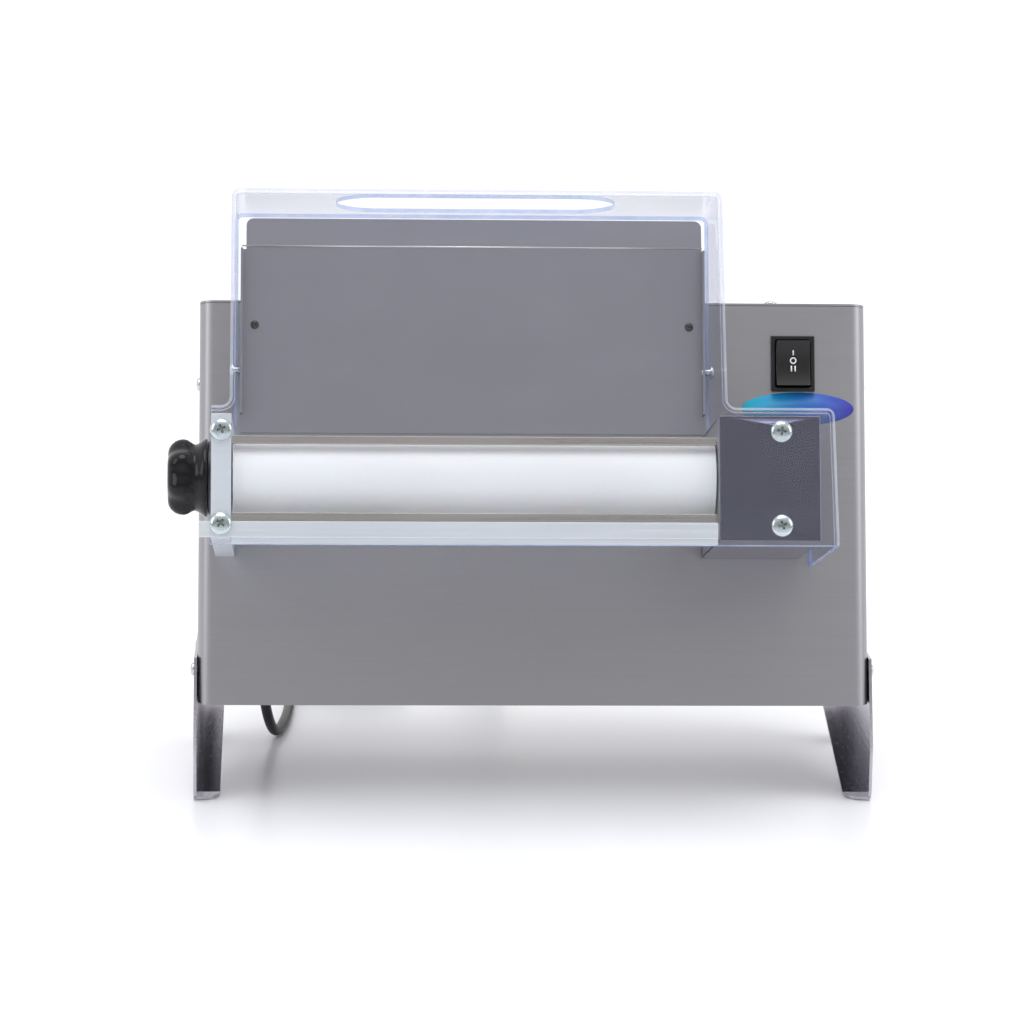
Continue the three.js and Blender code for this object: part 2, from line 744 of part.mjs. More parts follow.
const [EXIT_Y, EXIT_Z] = onTable([ELBOW.y, ELBOW.end - GAP]);
const LEAD = [
  [ELBOW.x, EXIT_Y, EXIT_Z],
  [ELBOW.x, EXIT_Y - 2.3, EXIT_Z - 8],
  [-187.8, 159.4, 43],
  [-187.2, 157.3, 35],
  [-186, 156.7, 27],
  [-184.3, 158.7, 18.8],
  [-182.2, 163.6, 11.4],
  [-179.8, 171.2, 6.1],
  [-177.4, 181, 3.95],
  [-175, 194, 3.85],
  [-173, 211, 3.85],
  [-171.4, 230, 3.85],
  [-170.4, 250, 3.85],
  [-169.8, 270, 3.85],
  [-169.4, 290, 3.85],
  [-169, 308, 3.85],
  [-168.6, 325, 3.85],
  [-168, 341, 3.85],
];
const TAIL = [
  [-117, 384, 11],
  [-100, 385, 12.5],
  [-84, 384, 15.5],
  [-68, 381, 18.5],
  [-55, 377, 18.9],
];

function tube(points, steps) {
  const path = new THREE.CatmullRomCurve3(points.map((point) => new THREE.Vector3(...point)));
  const section = new THREE.Shape(circle(CORD_RADIUS, [0, 0], 8).map((p) => new THREE.Vector2(...p)));
  return new THREE.ExtrudeGeometry(section, { steps, extrudePath: path });
}

// The wound turns' outer shape, larger all round by margin.
function coilRing(margin = 0) {
  const { centre, inner, outer, height } = COIL;
  const profile = [
    [inner - margin, 0.1 - margin],
    [outer + margin, 0.1 - margin],
    [outer + margin, height + margin],
    [inner - margin, height + margin],
    [inner - margin, 0.1 - margin],
  ];
  return turned("z", profile, 40).translate(...centre, 0);
}

function plug() {
  const profile = [
    [0, 0],
    [5, 0],
    [6, 14],
    [11, 18],
    [13, 30],
    [18.5, 36],
    [18.5, 50],
    [0, 50],
  ];
  const pins = [-9.5, 9.5].map((offset) => rod("x", 2.4, [48, 69], [offset, 0], 12));
  return join(turned("x", profile, 24), ...pins);
}

// ---- Assembly ----

function tilted() {
  const group = new THREE.Group();
  group.position.z = PANEL_BASE;
  group.rotation.x = -TILT;
  const plateTop = [102, 185];
  group.add(
    piece("housing_shell", housingShell(), "housing"),
    piece("top_cover", topCover(), "housing"),
    piece("rear_cover", rearCover(), "housing"),
    piece("bottom_plate", bottomPlate(), "steel"),
    piece("end_plate_left", endPlate(PLATE.left, plateTop), "aluminium"),
    piece("end_plate_right", endPlate(PLATE.right, PLATE.z), "aluminium"),
    piece("bearing_block_left", bearingBlock([-218.7, -206.3], -190), "aluminium"),
    piece("bearing_block_right", bearingBlock([150.8, 163.2], 106), "aluminium"),
    piece("window_cap_left", windowCap([-221.3, -219.3]), "black"),
    piece("window_cap_right", windowCap([163.8, 165.8]), "black"),
    piece("cam_shaft", camShaft(), "steel"),
    piece("adjustment_knob", knob(), "bakelite"),
    piece("front_roller", frontRoller(), "white"),
    piece("rear_roller", ring("x", ROLLER.radius, REAR_SHAFT.radius + GAP, ROLLER.x, REAR_AXLE, 48), "white"),
    piece("rear_roller_shaft", rod("x", REAR_SHAFT.radius, REAR_SHAFT.x, REAR_AXLE), "steel"),
    piece("shaft_bush_left", ring("x", 12, REAR_SHAFT.radius + GAP, [-218.8, -206.2], REAR_AXLE), "brass"),
    piece("shaft_bush_right", ring("x", 12, REAR_SHAFT.radius + GAP, [150.7, 163.3], REAR_AXLE), "brass"),
    piece("front_gear", frontGear(), "steel"),
    piece("rear_gear", prism("x", GEAR.x, toothed(GEAR, REAR_AXLE), [circle(8.3, REAR_AXLE)]), "steel"),
    piece("driven_sprocket", sprocket(REAR_AXLE, REAR_SHAFT.radius + GAP, [164.2, 172]), "steel"),
    piece("drive_sprocket", sprocket(DRIVE_AXLE, 7.8, [165, 172]), "steel"),
    piece("drive_chain", chain(), "casting"),
    piece("gear_inner_plate", innerPlate(), "steel"),
    piece("gear_cover", gearCover(), "cover"),
    piece("upper_crossbar", slab([-205.7, ROLLER.x[1]], [-118, -112.4], [166, 171]), "bar"),
    piece("lower_crossbar", slab([-205.7, ROLLER.x[1]], [-118, -112], [113.8, 120]), "bar"),
    piece("front_rail", frontRail(), "aluminium"),
    piece("front_scraper", frontScraper(), "white"),
    piece("rear_scraper", rearScraper(), "steel"),
    piece("hopper_plate", hopperPlate(), "housing"),
    piece("guard", guard(), "clear"),
    piece("motor_housing", motorHousing(), "motor"),
    piece("motor_rotor", motorRotor(), "steel"),
    piece("gearhead", gearhead(), "casting"),
    piece("output_shaft", rod("x", 7.5, [138, 178], DRIVE_AXLE), "steel"),
    piece("motor_bracket", motorBracket(), "steel"),
    piece("run_capacitor", rod("z", 17.5, [43, 105], [-140, 112], 24), "white"),
    piece("terminal_block", terminalBlock(), "white"),
    piece("switch_body", switchBody(), "black"),
    piece("switch_rocker", rocker(), "black"),
    piece("cord_elbow", cordElbow(), "black"),
  );
  addFrontScrews(group);
  addGuardScrews(group);
  return group;
}

function addFrontScrews(group) {
  const seats = [
    ["roller_screw_upper_left", 0, 1, PLATE.front + GAP],
    ["roller_screw_lower_left", 0, 0, -126.3],
    ["roller_screw_upper_right", 1, 1, COVER.front],
    ["roller_screw_lower_right", 1, 0, COVER.front],
  ];
  for (const [name, column, row, y] of seats) {
    const mesh = screw(name, 7.5, 4.4, 4, 22);
    mesh.position.set(ROLLER_SCREW.x[column], y - 0.1, ROLLER_SCREW.z[row]);
    mesh.rotation.x = Math.PI / 2;
    group.add(mesh);
  }
  for (const [i, side] of ["left", "right"].entries()) {
    const mesh = screw(`hopper_screw_${side}`, 3, 1.5, 2.2, 10, "black");
    mesh.position.set(HOPPER_SCREW.x[i], HOPPER.face - 0.1, HOPPER_SCREW.z);
    mesh.rotation.x = Math.PI / 2;
    group.add(mesh);
  }
}

function addGuardScrews(group) {
  for (const [i, side] of [-1, 1].entries()) {
    const mesh = screw(`guard_screw_${side < 0 ? "left" : "right"}`, 4.2, 2.6, 2, 7);
    mesh.position.set(GUARD.upper[i] + 0.1 * side, GUARD_SCREW.y, GUARD_SCREW.z);
    mesh.rotation.y = (side * Math.PI) / 2;
    group.add(mesh);
  }
}

function feet() {
  const group = new THREE.Group();
  for (const side of [-1, 1]) {
    const word = side < 0 ? "left" : "right";
    group.add(piece(`foot_${word}`, foot(side), "foot"));
    for (const [i, [y, z]] of FOOT_SCREWS.entries()) {
      const mesh = screw(`foot_screw_${word}_${i ? "rear" : "front"}`, 4.5, 3, 2.5, 9);
      mesh.position.set(side * (HOUSING.halfWidth + GAP + FOOT.thickness + 0.1), y, z);
      mesh.rotation.y = (side * Math.PI) / 2;
      group.add(mesh);
    }
  }
  return group;
}

function mainsLead() {
  const group = new THREE.Group();
  const [before, last] = TAIL.slice(-2);
  const end = piece("mains_plug", plug(), "black");
  end.position.set(last[0] + 2 * GAP, last[1], last[2]);
  end.rotation.z = Math.atan2(last[1] - before[1], last[0] - before[0]);
  group.add(
    piece("mains_lead", cut(tube(LEAD, 44), coilRing(GAP)), "black"),
    piece("mains_lead_coil", coilRing(), "black"),
    piece("mains_lead_tail", cut(tube(TAIL, 16), coilRing(GAP)), "black"),
    end,
  );
  return group;
}

// The whole stands on z = 0 with the machine itself, without its lead, centred over the origin.
const machine = new THREE.Group();
machine.add(tilted(), feet());
machine.updateMatrixWorld(true);
const extent = new THREE.Box3().setFromObject(machine, true);
const middle = extent.getCenter(new THREE.Vector3());

const assembly = new THREE.Group();
assembly.add(machine, mainsLead());
assembly.position.set(-middle.x, -middle.y, -extent.min.z);
assembly.updateMatrixWorld(true);

export default assembly;
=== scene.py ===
"""The looks of the countertop dough and pasta roller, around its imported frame.

Sizes are millimetres in the housing's own frame: x to the right, y into the machine from the
panel's face, z up the panel from its bottom edge. The mains lead's route is on the table's frame.
"""

import json
import math

import bmesh
import bpy
from mathutils import Matrix, Vector


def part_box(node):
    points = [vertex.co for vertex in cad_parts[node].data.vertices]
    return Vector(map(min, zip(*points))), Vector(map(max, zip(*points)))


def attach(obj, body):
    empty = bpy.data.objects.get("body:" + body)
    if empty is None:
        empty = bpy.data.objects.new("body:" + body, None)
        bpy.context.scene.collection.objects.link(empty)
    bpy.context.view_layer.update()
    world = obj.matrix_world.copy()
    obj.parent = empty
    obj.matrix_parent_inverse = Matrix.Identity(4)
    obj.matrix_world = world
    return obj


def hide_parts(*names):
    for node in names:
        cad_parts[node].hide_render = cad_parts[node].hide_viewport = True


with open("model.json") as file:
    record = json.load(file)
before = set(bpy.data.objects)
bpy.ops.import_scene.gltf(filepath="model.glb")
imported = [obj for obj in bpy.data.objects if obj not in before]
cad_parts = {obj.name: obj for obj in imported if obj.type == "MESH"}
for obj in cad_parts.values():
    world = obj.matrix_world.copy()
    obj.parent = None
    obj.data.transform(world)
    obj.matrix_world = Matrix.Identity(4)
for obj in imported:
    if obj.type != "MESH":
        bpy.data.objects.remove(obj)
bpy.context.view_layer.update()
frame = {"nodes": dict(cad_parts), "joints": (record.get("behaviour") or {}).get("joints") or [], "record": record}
nodes = frame["nodes"]
joints = {joint["name"]: joint for joint in frame["joints"]}

MM = 0.001
TAU = 2 * math.pi
METRES_FROM_MM = Matrix.Scale(MM, 4)

# The housing's frame, from the knob's axis and the direction in which the front roller slides.
KNOB_AXIS = Vector((-45, -90, 146))
BACK = Vector(joints["front_roller_slide"]["axis"]).normalized()
UP = Vector((0, -BACK.z, BACK.y))
TURN = Matrix((Vector((1, 0, 0)), BACK, UP)).transposed()
ORIGIN = Vector(joints["knob_turn"]["pos_m"]) - TURN @ (KNOB_AXIS * MM)
HOUSING_METRES = Matrix.Translation(ORIGIN) @ TURN.to_4x4()
HOUSING = HOUSING_METRES @ METRES_FROM_MM

# The table's frame, from the middle of the coil.
COIL = Vector((-122, 338, 0))
coil_low, coil_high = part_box("mains_lead_coil")
COIL_MIDDLE = Vector(((coil_low.x + coil_high.x) / 2, (coil_low.y + coil_high.y) / 2, 0))
TABLE = Matrix.Translation(COIL_MIDDLE - COIL * MM) @ METRES_FROM_MM

AXLE_FRONT = (-90, 146)
HOUSING_TOP = 279.8
HALF_WIDTH = 231
FOOT_SHEET = 2.3
ROLLER_SCREWS = {
    "upper_left": (-212.5, -123.8, 174.3),
    "lower_left": (-212.5, -126.4, 111.8),
    "upper_right": (157, -125.6, 174.3),
    "lower_right": (157, -125.6, 111.8),
}
HOPPER_SCREWS = {"left": (-192.9, -1.9, 262.5), "right": (107.6, -1.9, 262.5)}
GUARD = {
    "thickness": 3,
    "upper": (-207.3, 121.7),
    "lower": (-219, 192.4),
    "z": (96.3, 190, 340.6),
    "front": -99.5,
    "slope": 52 / 244,
    "back": -0.6,
    "bend": 4.5,
    "corner": 5.5,
    "steps": 6,
    "lit_rows": (2, 5),
}
FEED_SLOT = {"x": (-137.5, 52.5), "y": (-79, -24)}
SWITCH = (179.8, 237.5)
ROCKER = {"half_height": 15.7, "face": -3.6, "hollow": 2.4}
STICKER = {"centre": (183, 206), "half": (39, 11.5), "y": (-0.2, 0.1)}
HOPPER_FOLD = {"x": (-202, 117), "y": (-2.2, -1.4), "z": (317.2, 318.2)}
ELBOW_END = (-188, 159.25, 41)
CORD_RADIUS = 3.75


# ---- Materials ----

# Nearly all of a noise texture's values lie between these two.
NOISE_LOW, NOISE_HIGH = 0.3, 0.7
# How much the broad clouds add to a metal's fine lines.
CLOUD_SHARE = 0.35


class Paint:
    """A material's nodes, with short ways to add and join them."""

    def __init__(self, name):
        self.material = bpy.data.materials.new(name)
        self.material.use_nodes = True
        self.tree = self.material.node_tree
        self.shader = self.tree.nodes["Principled BSDF"]
        self.output = self.tree.nodes["Material Output"]

    def add(self, kind, **values):
        node = self.tree.nodes.new(kind)
        for key, value in values.items():
            setattr(node, key, value)
        return node

    def link(self, source, target):
        self.tree.links.new(source, target)

    def set(self, **values):
        for key, value in values.items():
            self.shader.inputs[key.replace("_", " ")].default_value = value
        return self

    def feed(self, name, source):
        """Joins source to one of the main shader's inputs."""
        self.link(source, self.shader.inputs[name])

    def noise(self, scale, detail=4.0, stretch=(1, 1, 1), roughness=0.5):
        """Noise in the object's own metres, with a scale for each axis."""
        place = self.add("ShaderNodeTexCoord")
        mapping = self.add("ShaderNodeMapping")
        mapping.inputs["Scale"].default_value = stretch
        texture = self.add("ShaderNodeTexNoise")
        texture.inputs["Scale"].default_value = scale
        texture.inputs["Detail"].default_value = detail
        texture.inputs["Roughness"].default_value = roughness
        self.link(place.outputs["Object"], mapping.inputs["Vector"])
        self.link(mapping.outputs["Vector"], texture.inputs["Vector"])
        return texture.outputs["Fac"]

    def between(self, factor, low, high):
        """A number that goes from low to high with a noise's factor."""
        node = self.add("ShaderNodeMapRange")
        node.inputs["From Min"].default_value = NOISE_LOW
        node.inputs["From Max"].default_value = NOISE_HIGH
        node.inputs["To Min"].default_value = low
        node.inputs["To Max"].default_value = high
        self.link(factor, node.inputs["Value"])
        return node.outputs["Result"]

    def colours(self, factor, *stops):
        """A colour from stops, (place, colour), along factor."""
        ramp = self.add("ShaderNodeValToRGB")
        ramp.color_ramp.elements[0].position = stops[0][0]
        ramp.color_ramp.elements[0].color = (*stops[0][1], 1)
        ramp.color_ramp.elements[1].position = stops[-1][0]
        ramp.color_ramp.elements[1].color = (*stops[-1][1], 1)
        for place, colour in stops[1:-1]:
            ramp.color_ramp.elements.new(place).color = (*colour, 1)
        self.link(factor, ramp.inputs["Fac"])
        return ramp.outputs["Color"]

    def bump(self, height, strength, distance):
        node = self.add("ShaderNodeBump")
        node.inputs["Strength"].default_value = strength
        node.inputs["Distance"].default_value = distance
        self.link(height, node.inputs["Height"])
        self.feed("Normal", node.outputs["Normal"])


def shade(colour, factor):
    return tuple(min(1, part * factor) for part in colour)


def tones(paint, factor, colour, vary):
    """The colour, made darker and lighter by the share vary along a noise's factor."""
    darker, lighter = shade(colour, 1 - vary), shade(colour, 1 + vary)
    return paint.colours(factor, (NOISE_LOW, darker), (NOISE_HIGH, lighter))


def metal(name, colour, rough, grain=(6, 700, 700), spread=0.06, vary=0.06, depth=0.03):
    """Bare metal with fine lines along one axis, and clouds of slightly different gloss."""
    paint = Paint(name).set(Metallic=1.0)
    lines = paint.noise(1.0, 6.0, grain, 0.65)
    clouds = paint.noise(9.0, 3.0)
    both = paint.add("ShaderNodeMath", operation="MULTIPLY_ADD")
    both.inputs[1].default_value = CLOUD_SHARE
    paint.link(clouds, both.inputs[0])
    paint.link(lines, both.inputs[2])
    shift = paint.add("ShaderNodeMath", operation="SUBTRACT")
    shift.inputs[1].default_value = CLOUD_SHARE / 2
    paint.link(both.outputs[0], shift.inputs[0])
    paint.feed("Base Color", tones(paint, shift.outputs[0], colour, vary))
    paint.feed("Roughness", paint.between(shift.outputs[0], rough - spread, rough + spread))
    if depth:
        paint.bump(lines, depth, 0.0002)
    return paint.material


def plastic(name, colour, rough, grain=0.0, coat=0.0, vary=0.08, specular=0.5):
    """Moulded or painted: a fine texture and slow changes of tone."""
    paint = Paint(name).set(Metallic=0.0, Coat_Weight=coat, Coat_Roughness=0.04)
    paint.set(Specular_IOR_Level=specular)
    clouds = paint.noise(14.0, 4.0)
    paint.feed("Base Color", tones(paint, clouds, colour, vary))
    paint.feed("Roughness", paint.between(clouds, rough * 0.9, rough * 1.12))
    if grain:
        paint.bump(paint.noise(900, 2.0), grain, 0.0001)
    return paint.material


def turned_white():
    """White acetal with the faint rings that a lathe leaves, and a little light let through."""
    paint = Paint("acetal_white").set(Metallic=0.0, IOR=1.48)
    paint.set(Subsurface_Weight=0.25, Subsurface_Scale=0.004)
    rings = paint.noise(1.0, 3.0, (2600, 3, 3), 0.6)
    clouds = paint.noise(10.0, 3.0)
    tone = paint.colours(clouds, (NOISE_LOW, (0.80, 0.81, 0.825)), (NOISE_HIGH, (0.86, 0.87, 0.885)))
    paint.feed("Base Color", tone)
    paint.feed("Roughness", paint.between(rings, 0.34, 0.46))
    paint.bump(rings, 0.05, 0.0001)
    return paint.material


def clear_sheet():
    """Clear polycarbonate: it mirrors more and looks bluer the more it is seen edge on."""
    paint = Paint("polycarbonate_clear")
    facing = paint.add("ShaderNodeLayerWeight")
    facing.inputs["Blend"].default_value = 0.5
    tint = paint.colours(
        facing.outputs["Facing"],
        (0.0, (0.985, 0.988, 0.995)),
        (0.8, (0.94, 0.943, 0.958)),
        (0.98, (0.84, 0.845, 0.88)),
    )
    see = paint.add("ShaderNodeBsdfTransparent")
    paint.link(tint, see.inputs["Color"])
    mirror = paint.add("ShaderNodeBsdfGlossy")
    mirror.inputs["Roughness"].default_value = 0.03
    grazing = paint.add("ShaderNodeMath", operation="POWER")
    grazing.inputs[1].default_value = 5.0
    paint.link(facing.outputs["Facing"], grazing.inputs[0])
    share = paint.add("ShaderNodeMath", operation="MULTIPLY_ADD")
    share.inputs[1].default_value = 0.22
    share.inputs[2].default_value = 0.02
    paint.link(grazing.outputs[0], share.inputs[0])
    body = paint.add("ShaderNodeMixShader")
    paint.link(share.outputs[0], body.inputs["Fac"])
    paint.link(see.outputs["BSDF"], body.inputs[1])
    paint.link(mirror.outputs["BSDF"], body.inputs[2])
    haze = paint.add("ShaderNodeBsdfDiffuse")
    haze.inputs["Color"].default_value = (0.88, 0.89, 0.92, 1)
    wear = paint.noise(30.0, 8.0, (1, 1, 1), 0.75)
    surface = paint.add("ShaderNodeMixShader")
    paint.link(paint.between(wear, 0.002, 0.012), surface.inputs["Fac"])
    paint.link(body.outputs["Shader"], surface.inputs[1])
    paint.link(haze.outputs["BSDF"], surface.inputs[2])
    paint.link(surface.outputs["Shader"], paint.output.inputs["Surface"])
    paint.tree.nodes.remove(paint.shader)
    return paint.material


def lit_edge(name, low, high, see_through, share):
    """The sheet's cut edges and bends, with light painted into their colour: a painted glow on the cut edges,
    where light that travelled inside the sheet comes out, and a painted highlight along the bends.

    Its colour, partly the sheet's own bluish tint and partly painted light, lies between low and high. The rest, 1
    - share, is seen through it.
    """
    paint = Paint(name)
    paint.set(Roughness=0.22)
    clouds = paint.noise(60.0, 5.0)
    paint.feed("Base Color", paint.colours(clouds, (NOISE_LOW, low), (NOISE_HIGH, high)))
    see = paint.add("ShaderNodeBsdfTransparent")
    see.inputs["Color"].default_value = (*see_through, 1)
    mix = paint.add("ShaderNodeMixShader")
    mix.inputs["Fac"].default_value = share
    paint.link(see.outputs["BSDF"], mix.inputs[1])
    paint.link(paint.shader.outputs["BSDF"], mix.inputs[2])
    paint.link(mix.outputs["Shader"], paint.output.inputs["Surface"])
    return paint.material


def sticker_blue():
    """A plain printed film that goes from light blue on its left to dark blue on its right."""
    paint = Paint("sticker_film").set(Roughness=0.45)
    place = paint.add("ShaderNodeTexCoord")
    split = paint.add("ShaderNodeSeparateXYZ")
    paint.link(place.outputs["Object"], split.inputs["Vector"])
    along = paint.add("ShaderNodeMapRange")
    middle, half = STICKER["centre"][0], STICKER["half"][0]
    along.inputs["From Min"].default_value = (HOUSING @ Vector((middle - half, 0, 0))).x
    along.inputs["From Max"].default_value = (HOUSING @ Vector((middle + half, 0, 0))).x
    paint.link(split.outputs["X"], along.inputs["Value"])
    tone = paint.colours(
        along.outputs["Result"],
        (0.0, (0.0, 0.42, 0.58)),
        (0.5, (0.005, 0.16, 0.50)),
        (1.0, (0.05, 0.035, 0.38)),
    )
    paint.feed("Base Color", tone)
    return paint.material


PANEL_STEEL = metal("steel_brushed", (0.395, 0.39, 0.415), 0.4, spread=0.02, vary=0.025, depth=0.008)
HOPPER_STEEL = metal(
    "steel_brushed_hopper", (0.345, 0.345, 0.39), 0.38, spread=0.02, vary=0.02, depth=0.006
)
PLAIN_STEEL = metal("steel_plain", (0.55, 0.55, 0.56), 0.32, vary=0.08)
# The cover steel's dark bluish base colour is a painted reflection: it paints in the dark room mirrored in its
# polished face.
COVER_STEEL_PAINTED_REFLECTION = metal("steel_polished_painted_reflection", (0.155, 0.155, 0.225), 0.14, spread=0.01, vary=0.02, depth=0.0)
FOOT_STEEL = metal("steel_foot", (0.50, 0.48, 0.53), 0.24, grain=(500, 6, 500), vary=0.05, depth=0.01)
BAR_STEEL = metal("steel_bar", (0.50, 0.47, 0.44), 0.3, vary=0.08)
ALUMINIUM = metal("aluminium_satin", (0.78, 0.82, 0.86), 0.5, vary=0.03, depth=0.01)
CASTING = metal("alloy_cast", (0.52, 0.53, 0.55), 0.6, grain=(260, 260, 260), depth=0.25)
ZINC = metal("zinc_bright", (0.56, 0.63, 0.63), 0.18, grain=(300, 300, 300), spread=0.04, depth=0.01)
# Darker zinc for the screws' cross recesses: painted shade inside the recesses.
ZINC_RECESS_SHADE = metal("zinc_recess_painted_shade", (0.34, 0.39, 0.39), 0.35, grain=(300, 300, 300))
CHAIN_STEEL = metal("steel_chain", (0.30, 0.30, 0.31), 0.4, grain=(80, 200, 200), vary=0.2)
BRASS = metal("brass_turned", (0.75, 0.56, 0.27), 0.3)
MOTOR_PAINT = plastic("paint_motor", (0.05, 0.055, 0.062), 0.45, grain=0.3, coat=0.2)
WHITE_POM = turned_white()
LIGHT_PLASTIC = plastic("plastic_light", (0.72, 0.72, 0.69), 0.42, grain=0.1)
BAKELITE = plastic("phenolic_black", (0.008, 0.008, 0.010), 0.12, specular=0.25)
BLACK = plastic("plastic_black", (0.008, 0.008, 0.009), 0.3, grain=0.05)
SHEATH = plastic("sheath_black", (0.016, 0.016, 0.018), 0.4, grain=0.12)
PRINT = plastic("print_white", (0.85, 0.86, 0.88), 0.5, vary=0.03)
CLEAR = clear_sheet()
# The cut edges' colour is the sheet's own bluish tint with a painted glow of the light that comes out of them.
CLEAR_EDGE_GLOW = lit_edge(
    "polycarbonate_edge_glow",
    low=(0.36, 0.46, 0.78),
    high=(0.58, 0.66, 0.88),
    see_through=(0.80, 0.86, 0.99),
    share=0.6,
)
# The bends' whiter colour is a painted highlight along the guard's bends.
CLEAR_BEND_HIGHLIGHT = lit_edge(
    "polycarbonate_bend_highlight",
    low=(0.66, 0.70, 0.83),
    high=(0.86, 0.88, 0.93),
    see_through=(0.86, 0.88, 0.95),
    share=0.35,
)

SLOT_MATERIALS = {
    "housing_steel": PANEL_STEEL,
    "plain_steel": PLAIN_STEEL,
    "cover_steel": COVER_STEEL_PAINTED_REFLECTION,
    "end_plate_aluminium": ALUMINIUM,
    "bar_steel": BAR_STEEL,
    "zinc_screws": ZINC,
    "white_pom": WHITE_POM,
    "bakelite": BAKELITE,
    "black_plastic": BLACK,
    "cord_pvc": SHEATH,
    "foot_steel": FOOT_STEEL,
    "clear_guard": CLEAR,
    "motor_paint": MOTOR_PAINT,
    "cast_alloy": CASTING,
    "chain_steel": CHAIN_STEEL,
    "brass_bush": BRASS,
    "light_plastic": LIGHT_PLASTIC,
}


# ---- Building pieces ----


def mesh_piece(name, vertices, faces, materials, body, slot, place=HOUSING):
    """A mesh piece from vertices in millimetres, which rides on body unless it is only a tool."""
    mesh = bpy.data.meshes.new(name)
    mesh.from_pydata([place @ Vector(vertex) for vertex in vertices], [], faces)
    bm = bmesh.new()
    bm.from_mesh(mesh)
    bmesh.ops.remove_doubles(bm, verts=bm.verts, dist=1e-6)
    bmesh.ops.recalc_face_normals(bm, faces=bm.faces)
    bm.to_mesh(mesh)
    bm.free()
    mesh.shade_smooth()
    for material in materials:
        mesh.materials.append(material)
    piece = bpy.data.objects.new(name, mesh)
    bpy.context.scene.collection.objects.link(piece)
    if body:
        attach(piece, body)
    return piece


def loft(rings, closed=True):
    """The vertices and faces of a tube through rings of equal count, with closed or open ends."""
    count = len(rings[0])
    vertices = [point for ring in rings for point in ring]
    faces = []
    for row in range(0, (len(rings) - 1) * count, count):
        for i in range(count):
            j = (i + 1) % count
            faces.append([row + i, row + j, row + count + j, row + count + i])
    if closed:
        faces.append(list(range(count)))
        faces.append([(len(rings) - 1) * count + i for i in range(count)])
    return vertices, faces


def turned(profile, sides=48, lobes=0):
    """A solid turned around +Z from [radius, height] points, or with a depth for its lobes."""
    rings = []
    for radius, height, *depth in profile:
        ring = []
        for i in range(sides):
            angle = TAU * i / sides
            wave = depth[0] * math.cos(lobes * angle) if depth else 0
            reach = max(radius + wave, 0.01)
            ring.append((reach * math.cos(angle), reach * math.sin(angle), height))
        rings.append(ring)
    return loft(rings)


def bevel_edges(piece, width, angle=40, segments=2):
    """Small rounds on the edges sharper than angle."""
    bevel = piece.modifiers.new("edges", "BEVEL")
    bevel.width = width * MM
    bevel.segments = segments
    bevel.limit_method = "ANGLE"
    bevel.angle_limit = math.radians(angle)
    bevel.harden_normals = True


def bake(piece):
    """Applies the piece's modifiers to its mesh."""
    graph = bpy.context.evaluated_depsgraph_get()
    mesh = bpy.data.meshes.new_from_object(piece.evaluated_get(graph), depsgraph=graph)
    piece.modifiers.clear()
    piece.data = mesh


def cut(piece, tool):
    """Takes tool, which is used up, out of piece."""
    boolean = piece.modifiers.new("cut", "BOOLEAN")
    boolean.operation = "DIFFERENCE"
    boolean.solver = "EXACT"
    boolean.object = tool
    bake(piece)
    bpy.data.objects.remove(tool)


# ---- Camera ----

CAMERA = {
    "place": (-0.1421, -2.7374, 0.7104),
    "yaw": 2.793,
    "pitch": 10.739,
    "roll": 0.737,
    "lens": 141.49,
    "sensor": 36,
    "reach": 50,
}


def camera():
    data = bpy.data.cameras.new("camera")
    data.lens = CAMERA["lens"]
    data.sensor_width = CAMERA["sensor"]
    data.clip_end = CAMERA["reach"]
    eye = bpy.data.objects.new("camera", data)
    yaw, pitch, roll = (math.radians(CAMERA[key]) for key in ("yaw", "pitch", "roll"))
    eye.matrix_world = (
        Matrix.Translation(CAMERA["place"])
        @ Matrix.Rotation(-yaw, 4, "Z")
        @ Matrix.Rotation(math.pi / 2 - pitch, 4, "X")
        @ Matrix.Rotation(roll, 4, "Z")
    )
    bpy.context.scene.collection.objects.link(eye)
    bpy.context.scene.camera = eye


camera()


# ---- The mains lead ----

# The height of the cord's centre line on the table, and where it lies on an earlier turn.
LYING_Z = 3.85
SECOND_LAYER_Z = 11.35
exit_point = HOUSING @ Vector(ELBOW_END)
exit_on_table = TABLE.inverted() @ exit_point
LEAD = [
    tuple(exit_on_table),
    (-188, exit_on_table.y - 2.3, exit_on_table.z - 8),
    (-187.8, 159.4, 43),
    (-187.2, 157.3, 35),
    (-186, 156.7, 27),
    (-184.3, 158.7, 18.8),
    (-182.2, 163.6, 11.4),
    (-179.8, 171.2, 6.1),
    (-177.4, 181, 3.95),
    (-175, 194, LYING_Z),
    (-173, 211, LYING_Z),
    (-171.4, 230, LYING_Z),
    (-170.4, 250, LYING_Z),
    (-169.8, 270, LYING_Z),
    (-169.4, 290, LYING_Z),
    (-169, 308, LYING_Z),
    (-168.6, 325, LYING_Z),
    (-168, 341, LYING_Z),
]
TAIL = [
    (-117, 384, 11),
    (-100, 385, 12.5),
    (-84, 384, 15.5),
    (-68, 381, 18.5),
    (-55, 377, 18.9),
]
COIL_TURNS = 3
COIL_INNER = 34.2
POINTS_PER_TURN = 18
# Shares of the coil's way: it is at its narrowest after NARROWEST of each half, and climbs
# to the second layer over CLIMB_LENGTH from CLIMB_START on.
NARROWEST = 0.94
CLIMB_START = 0.46
CLIMB_LENGTH = 0.1

PLUG_RIBS = [(16.6 + (0.9 if i % 2 else 0), 36.5 + 1.5 * i) for i in range(9)]
PLUG_PROFILE = [
    (0, 0),
    (4.4, 0),
    (5, 1.2),
    (5.6, 8),
    (6, 14),
    (8.4, 16.5),
    (11, 19),
    (12, 25),
    (13, 30),
    (14.8, 33),
    *PLUG_RIBS,
    (18.3, 49.2),
    (17.6, 50),
    (0, 50),
]
PIN_PROFILE = [(2.4, 49), (2.4, 67.4), (1.6, 68.7), (0, 69)]
PIN_SPACING = 19
TIE = {"middle": 42, "half": 9.2, "height": 7.9, "corner": 4, "half_width": 2.2, "inner": 0.93}


